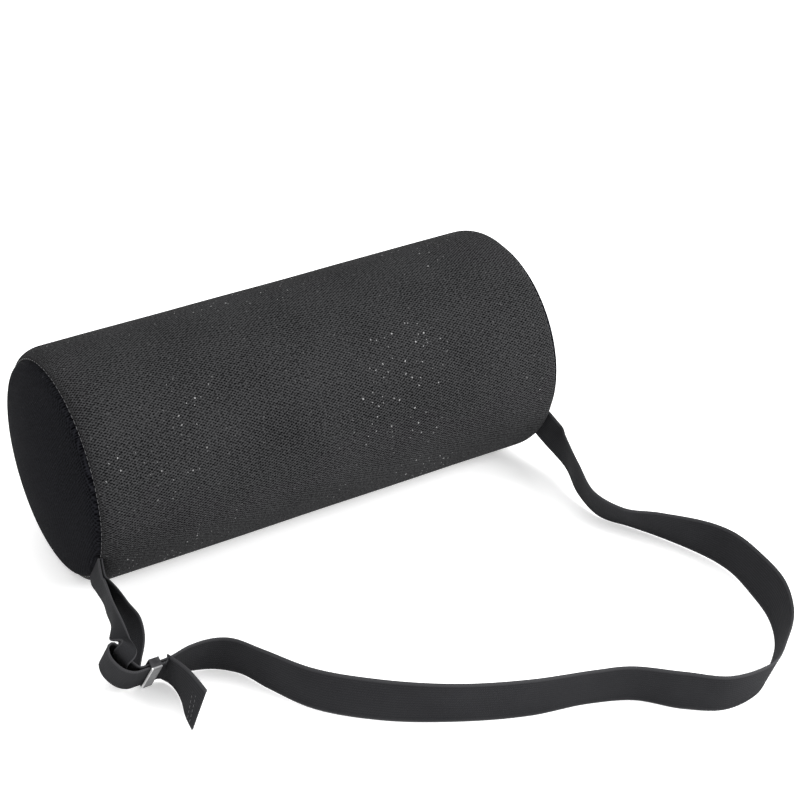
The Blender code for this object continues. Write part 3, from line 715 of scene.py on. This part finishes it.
def pushed_out(obj, caps, pressure=4.0, frames=20):
    held = obj.vertex_groups.new(name="held")
    held.add([index for index, cap in enumerate(caps) if cap < 0.1 * MM], 1.0, "REPLACE")
    before = [v.co.copy() for v in obj.data.vertices]
    cloth = obj.modifiers.new("cloth", "CLOTH")
    cloth.settings.quality = 5
    cloth.settings.vertex_group_mass = "held"
    cloth.settings.use_pressure = True
    cloth.settings.uniform_pressure_force = pressure
    cloth.settings.effector_weights.gravity = 0
    cloth.point_cache.frame_start, cloth.point_cache.frame_end = 1, frames
    for number in range(1, frames + 1):
        bpy.context.scene.frame_set(number)
    seen = obj.evaluated_get(bpy.context.evaluated_depsgraph_get())
    moves = [v.co - old for v, old in zip(seen.data.vertices, before)]
    obj.modifiers.remove(cloth)
    obj.vertex_groups.clear()
    bpy.context.scene.frame_set(1)
    moves = [move * min(1.0, cap / max(move.length, 1e-9)) for move, cap in zip(moves, caps)]
    start = 0
    for i, (_, radius, _) in enumerate(rings):
        count = 1 if i in (0, len(rings) - 1) else len(columns)
        if radius < MIDDLE_OF_CAP:
            shared = sum(move.x for move in moves[start : start + count]) / count
            moves[start : start + count] = [Vector((shared, 0, 0))] * count
        start += count
    for vert, old, move in zip(obj.data.vertices, before, moves):
        vert.co = old + move
    return max(move.length for move in moves)


print("farthest move in mm:", round(pushed_out(cover, push_caps()) / MM, 2))
for vert in cover.data.vertices:
    vert.co.z = max(vert.co.z, LOWEST_CLOTH)

# %% [markdown]
# ### Three sewn pieces
# The one mesh is now shared out: the faces between the two seams make the barrel, and the rest the two
# caps. The faces over the zip are left out of the barrel. Each piece carries its map in metres, measured
# round and along the roll on the barrel, and flat across on the caps. Each is then given the knit's
# thickness.

# %% Cut the cover into its pieces
KNIT_THICKNESS = 2 * MM
row_lengths = [0.0]
for (x0, r0, _), (x1, r1, _) in zip(rings, rings[1:]):
    row_lengths.append(row_lengths[-1] + math.hypot(x1 - x0, r1 - r0))


def cover_piece(name, rows, finish, leave_slot=False):
    """A piece of the cover from some of its rows of faces."""
    source = cover.data
    used, faces, maps = {}, [], []
    for face, (i, j) in zip(source.polygons, cover_faces):
        if i not in rows:
            continue
        inside_slot = max(abs(rings[i][0]), abs(rings[i + 1][0])) <= SLOT_HALF_LENGTH + 1e-6
        if leave_slot and inside_slot and j in (0, 1):
            continue
        faces.append([used.setdefault(v, len(used)) for v in face.vertices])
        for v in face.vertices:
            if finish is cover_knit:
                ring = (v - 1) // len(columns) + 1
                column = (v - 1) % len(columns)
                angle = columns[column] + (360 if column < j else 0)
                maps.append((math.radians(angle) * RADIUS, row_lengths[ring]))
            else:
                maps.append((source.vertices[v].co.y, source.vertices[v].co.z))
    mesh = bpy.data.meshes.new(name)
    mesh.from_pydata([source.vertices[v].co for v in used], [], faces)
    layer = mesh.uv_layers.new(name="cloth")
    for loop, place in zip(layer.data, maps):
        loop.uv = place
    mesh.shade_smooth()
    obj = bpy.data.objects.new(name, mesh)
    bpy.context.collection.objects.link(obj)
    dress(obj, finish)
    finer = obj.modifiers.new("finer", "SUBSURF")
    finer.levels = finer.render_levels = 1
    wall = obj.modifiers.new("knit_thickness", "SOLIDIFY")
    wall.thickness = KNIT_THICKNESS
    wall.offset = -1
    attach(obj, "cushion")
    return obj


first_seam, second_seam = seam_rows
barrel_knit = cover_piece("barrel_knit", range(first_seam, second_seam), cover_knit, leave_slot=True)
right_cap_knit = cover_piece("right_cap_knit", range(0, first_seam), end_knit_painted_shade)
left_cap_knit = cover_piece("left_cap_knit", range(second_seam, len(rings) - 1), end_knit_painted_shade)
for piece, node in (
    (barrel_knit, "barrel_cover"),
    (right_cap_knit, "right_end_cover"),
    (left_cap_knit, "left_end_cover"),
):
    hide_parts(node)
bpy.data.objects.remove(cover)
print("cover pieces:", [p.name for p in (barrel_knit, right_cap_knit, left_cap_knit)])

# %% [markdown]
# ## The strap and the loop
# Each length of webbing is skinned along its two edges with a flat ring that has rounded sides. Close rings
# keep the tight turns smooth. Its map runs along and across, in metres, for the weave.

# %% Skin a length of webbing
ACROSS_STEPS = [-1, -0.985, -0.94, -0.88, -0.82, -0.45, 0, 0.45, 0.82, 0.88, 0.94, 0.985, 1]
SELVEDGE_FROM = 0.85
SELVEDGE_RISE = 0.12 * MM


def evenly(edges, spacing):
    """The same edges at an even spacing along their middle line."""
    middles = middle_line(edges)
    reach = [0.0]
    for a, b in zip(middles, middles[1:]):
        reach.append(reach[-1] + (b - a).length)
    count = max(4, round(reach[-1] / spacing))
    made, k = [], 0
    for i in range(count + 1):
        target = reach[-1] * i / count
        while k < len(reach) - 2 and reach[k + 1] < target:
            k += 1
        t = (target - reach[k]) / max(1e-9, reach[k + 1] - reach[k])
        made.append((*(a.lerp(b, t) for a, b in zip(edges[k], edges[k + 1])), target))
    return made


def webbing_piece(name, edges, spacing=1.6 * MM):
    rows = evenly(edges, spacing)
    sides = []
    for w in ACROSS_STEPS:
        half = WEBBING_THICKNESS / 2 - (SELVEDGE_RISE if abs(w) < SELVEDGE_FROM else 0)
        sides.append((w, half * (1 - abs(w) ** 24) ** 0.5))
    sides += [(w, -t) for w, t in reversed(sides[1:-1])]
    points, maps = [], []
    for i, (low, high, reach) in enumerate(rows):
        before, after = rows[max(0, i - 1)], rows[min(len(rows) - 1, i + 1)]
        along = (after[0] + after[1] - before[0] - before[1]).normalized()
        face = along.cross(high - low).normalized()
        middle, reach_across = (low + high) / 2, (high - low) / 2
        for w, t in sides:
            points.append(middle + reach_across * w + face * t)
            maps.append((reach, w * WEBBING_WIDTH / 2))
    n = len(sides)
    faces = [tuple(range(n)), tuple(reversed(range(len(points) - n, len(points))))]
    for i in range(len(rows) - 1):
        a, b = i * n, (i + 1) * n
        faces += [(a + j, b + j, b + (j + 1) % n, a + (j + 1) % n) for j in range(n)]
    mesh = bpy.data.meshes.new(name)
    mesh.from_pydata(points, [], faces)
    layer = mesh.uv_layers.new(name="cloth")
    for loop in mesh.loops:
        layer.data[loop.index].uv = maps[loop.vertex_index]
    bm = bmesh.new()
    bm.from_mesh(mesh)
    bmesh.ops.recalc_face_normals(bm, faces=bm.faces)
    bm.to_mesh(mesh)
    bm.free()
    mesh.shade_smooth()
    mesh.set_sharp_from_angle(angle=math.radians(50))
    obj = bpy.data.objects.new(name, mesh)
    bpy.context.collection.objects.link(obj)
    dress(obj, webbing_finish)
    return obj


strap = webbing_piece("strap_webbing", strap_edge_points)
loop = webbing_piece("loop_webbing", loop_edge_points, 1.2 * MM)
print("strap faces:", len(strap.data.polygons), " loop faces:", len(loop.data.polygons))

# %% [markdown]
# ## Stitches
# Machine stitches follow a line at an even pitch, each a short bead of thread that dips into the cloth at
# both ends. Geometry Nodes suit them: one tree takes a line, spaces points along it, and sets a bead on
# each. Its pitch, length and thickness are inputs, so the seam, the zip and the strap can share it.


# %% Trees that lay beads along a line
class BeadTree:
    """A Geometry Nodes tree that sets a bead of one size on points a pitch apart along a line."""

    def __init__(self, name, numbers, material):
        self.group = bpy.data.node_groups.new(name, "GeometryNodeTree")
        self.material = material
        self.socket("Line", "Geometry")
        for number, value in numbers.items():
            self.socket(number, "Float").default_value = value
        self.socket(material, "Material")
        self.given = self.add("NodeGroupInput").outputs

    def socket(self, name, kind, side="INPUT"):
        return self.group.interface.new_socket(name, in_out=side, socket_type="NodeSocket" + kind)

    def add(self, kind, inputs=None, **settings):
        """Add a node; each input is another node's socket or a plain value."""
        made = self.group.nodes.new(kind)
        for key, value in settings.items():
            setattr(made, key, value)
        for key, source in (inputs or {}).items():
            if isinstance(source, bpy.types.NodeSocket):
                self.group.links.new(source, made.inputs[key])
            else:
                made.inputs[key].default_value = source
        return made

    def points(self):
        curve = self.add("GeometryNodeMeshToCurve", {"Mesh": self.given["Line"]})
        spacing = {"Curve": curve.outputs[0], "Length": self.given["Pitch"]}
        return self.add("GeometryNodeCurveToPoints", spacing, mode="LENGTH").outputs

    def bead(self, segments, rings, sizes):
        """A ball stretched to the three inputs that sizes names."""
        ball = self.add("GeometryNodeMeshUVSphere", {"Segments": segments, "Rings": rings, "Radius": 0.5})
        size = self.add("ShaderNodeCombineXYZ", {axis: self.given[word] for axis, word in zip("XYZ", sizes)})
        shape = {"Geometry": ball.outputs["Mesh"], "Scale": size.outputs[0]}
        return self.add("GeometryNodeTransform", shape).outputs[0]

    def laid(self, result, placing):
        """Finish the tree: one smooth mesh of all the beads, in the tree's material."""
        beads = self.add("GeometryNodeInstanceOnPoints", placing)
        real = self.add("GeometryNodeRealizeInstances", {"Geometry": beads.outputs[0]})
        shaded = self.add("GeometryNodeSetShadeSmooth", {"Geometry": real.outputs[0]})
        dressed = {"Geometry": shaded.outputs[0], "Material": self.given[self.material]}
        made = self.add("GeometryNodeSetMaterial", dressed)
        self.socket(result, "Geometry", "OUTPUT")
        self.add("NodeGroupOutput", {result: made.outputs[0]})
        return self.group


def stitch_tree():
    numbers = {"Pitch": 3 * MM, "Length": 2.3 * MM, "Thickness": 0.28 * MM}
    tree = BeadTree("stitches", numbers, "Thread")
    points, bead = tree.points(), tree.bead(6, 5, ("Thickness", "Thickness", "Length"))
    return tree.laid(
        "Stitches", {"Points": points["Points"], "Instance": bead, "Rotation": points["Rotation"]}
    )


stitch_nodes = stitch_tree()


def set_input(modifier, name, value):
    for item in modifier.node_group.interface.items_tree:
        if item.name == name and item.in_out == "INPUT":
            modifier[item.identifier] = value


def grown(name, source, tree, **inputs):
    """The plain mesh that a tree makes from a source mesh."""
    guide = bpy.data.objects.new(name + "_guide", source)
    bpy.context.collection.objects.link(guide)
    nodes = guide.modifiers.new("grow", "NODES")
    nodes.node_group = tree
    for key, value in inputs.items():
        set_input(nodes, key, value)
    seen = guide.evaluated_get(bpy.context.evaluated_depsgraph_get())
    mesh = bpy.data.meshes.new_from_object(seen)
    bpy.data.objects.remove(guide)
    made = bpy.data.objects.new(name, mesh)
    bpy.context.collection.objects.link(made)
    return made


def line_mesh(name, lines):
    """A mesh of edges only, from lists of points; a line whose ends meet is closed."""
    points, edges = [], []
    for line in lines:
        start = len(points)
        closed = (line[0] - line[-1]).length < 1e-6
        kept = line[:-1] if closed else line
        points += kept
        edges += [(start + i, start + i + 1) for i in range(len(kept) - 1)]
        if closed:
            edges.append((start + len(kept) - 1, start))
    mesh = bpy.data.meshes.new(name)
    mesh.from_pydata(points, edges, [])
    return mesh


def stitches(name, lines, **inputs):
    made = grown(name, line_mesh(name, lines), stitch_nodes, Thread=thread_finish.material, **inputs)
    print(name + ":", len(made.data.polygons), "faces")
    return made


# %% [markdown]
# ### Rows on the cover and the webbing
# A row of thread lies in the groove of each end seam, and another on each side of the zip's slot. Two rows
# close the hem at the strap's cut end, and show on both of its faces.

# %% Stitches in the end seams and beside the zip
THREAD_LIFT = 0.45 * MM  # above the floor of a seam's groove
THREAD_SINK = 0.45 * MM  # below the barrel's own surface
ZIP_ROW_REACH = 118 * MM
seam_floor = CORNER_RADIUS - GROOVE_DEPTH + THREAD_LIFT


def seam_circle(side):
    x = side * (HALF_LENGTH - CORNER_RADIUS + seam_floor * math.cos(CORNER_TURN))
    radius = FLAT_RADIUS + seam_floor * math.sin(CORNER_TURN)
    circle = [settled(around(x, radius, 360 * k / 240)) for k in range(240)]
    return circle + circle[:1]


seam_thread = stitches("seam_stitches", [seam_circle(-1), seam_circle(1)], Pitch=3.2 * MM, Length=2.6 * MM)
slot_turn = math.degrees(7.2 * MM / RADIUS)
zip_lines = []
for side in (-1, 1):
    angle = ZIP_ANGLE + side * slot_turn
    zip_lines.append([around(ZIP_ROW_REACH * (k / 40 - 1), RADIUS - THREAD_SINK, angle) for k in range(81)])
zip_thread = stitches("zip_stitches", zip_lines, Pitch=3 * MM)
for piece in (seam_thread, zip_thread):
    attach(piece, "cushion")


# %% Stitches in the hem
HEM_MARGIN = 0.12  # the share of the width left bare at each edge


def hem_rows(edges, distances, slant):
    """Lines across both faces, at distances from the cut end; their tops slant back from it."""
    rows = evenly(edges, 0.5 * MM)
    total = rows[-1][2]
    shares = [HEM_MARGIN + (1 - 2 * HEM_MARGIN) * k / 12 for k in range(13)]
    lines = []
    for distance in distances:
        i = min(range(1, len(rows) - 1), key=lambda k: abs(rows[k][2] - (total - distance)))
        low, high, _ = rows[i]
        along = (rows[i + 1][0] - rows[i - 1][0]).normalized()
        face = along.cross(high - low).normalized() * (WEBBING_THICKNESS / 2 + 0.04 * MM)
        top = high - along * slant
        for side in (-1, 1):
            lines.append([low.lerp(top, share) + face * side for share in shares])
    return lines


hem_lines = hem_rows(strap_edge_points, (3.5 * MM, 7 * MM), slant=3 * MM)
hem_thread = stitches("hem_stitches", hem_lines, Pitch=2.4 * MM, Length=1.9 * MM)
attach(hem_thread, "strap")

# %% [markdown]
# ## The zip's teeth
# A coil zip's teeth are one nylon thread wound along the tape's edge. From outside it shows as a close row
# of rounded bars, so each bar is a squashed bead set across the tape. The same kind of tree lays them, one
# row to a side.


# %% Tooth tree
def tooth_tree():
    numbers = {"Pitch": 1.3 * MM, "Width": 2 * MM, "Height": 1.5 * MM, "Thickness": 0.95 * MM, "Turn": 0.0}
    tree = BeadTree("zip_teeth", numbers, "Nylon")
    points, bead = tree.points(), tree.bead(8, 6, ("Thickness", "Width", "Height"))
    turn = tree.add("ShaderNodeCombineXYZ", {"X": tree.given["Turn"]})
    turned = tree.add("GeometryNodeTransform", {"Geometry": bead, "Rotation": turn.outputs[0]})
    return tree.laid("Teeth", {"Points": points["Points"], "Instance": turned.outputs[0]})


tooth_nodes = tooth_tree()
zip_out = around(0, 1, ZIP_ANGLE) - Vector((0, 0, AXIS_HEIGHT))
zip_up = zip_out.cross(Vector((1, 0, 0)))
for word in ("upper", "lower"):
    node = f"zip_coil_{word}"
    low, high = (Vector(corner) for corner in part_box(node))
    middle = (low + high) / 2
    half = (high.x - low.x) / 2 - 0.6 * MM
    line = [middle + Vector((half * (2 * k / 40 - 1), 0, 0)) for k in range(41)]
    teeth = grown(
        f"zip_teeth_{word}",
        line_mesh(node, [line]),
        tooth_nodes,
        Turn=math.atan2(zip_up.z, zip_up.y),
        Nylon=nylon_finish.material,
    )
    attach(teeth, "cushion")
    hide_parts(node)
    print(teeth.name + ":", len(teeth.data.polygons), "faces")

# %% [markdown]
# ## Finishes for the measured hard pieces
# The strap slider, the zip's slider, pull, stops and tapes, the seam bindings and the foam are already the
# right shape. They only need their finish.

# %% Dress the measured pieces
for name, finish in (
    ("strap_slider", slider_metal),
    ("zip_slider", zip_metal),
    ("zip_pull", zip_metal),
    ("zip_top_stop_upper", zip_metal),
    ("zip_top_stop_lower", zip_metal),
    ("zip_bottom_stop", zip_metal),
    ("zip_tape_upper", tape_finish),
    ("zip_tape_lower", tape_finish),
    ("left_seam_tape", tape_finish),
    ("right_seam_tape", tape_finish),
    ("foam_core", foam_finish),
):
    dress(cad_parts[name], finish)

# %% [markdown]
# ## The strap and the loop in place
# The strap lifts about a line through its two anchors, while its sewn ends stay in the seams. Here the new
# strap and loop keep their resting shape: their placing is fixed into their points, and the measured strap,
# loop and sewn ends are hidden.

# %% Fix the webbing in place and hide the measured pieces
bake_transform(strap)
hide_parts("strap", "strap_sewn_end")
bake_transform(loop)
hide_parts("anchor_loop", "loop_sewn_end_outer", "loop_sewn_end_inner")
[list(p) for p in strap_line[::3] + strap_line[-1:]]
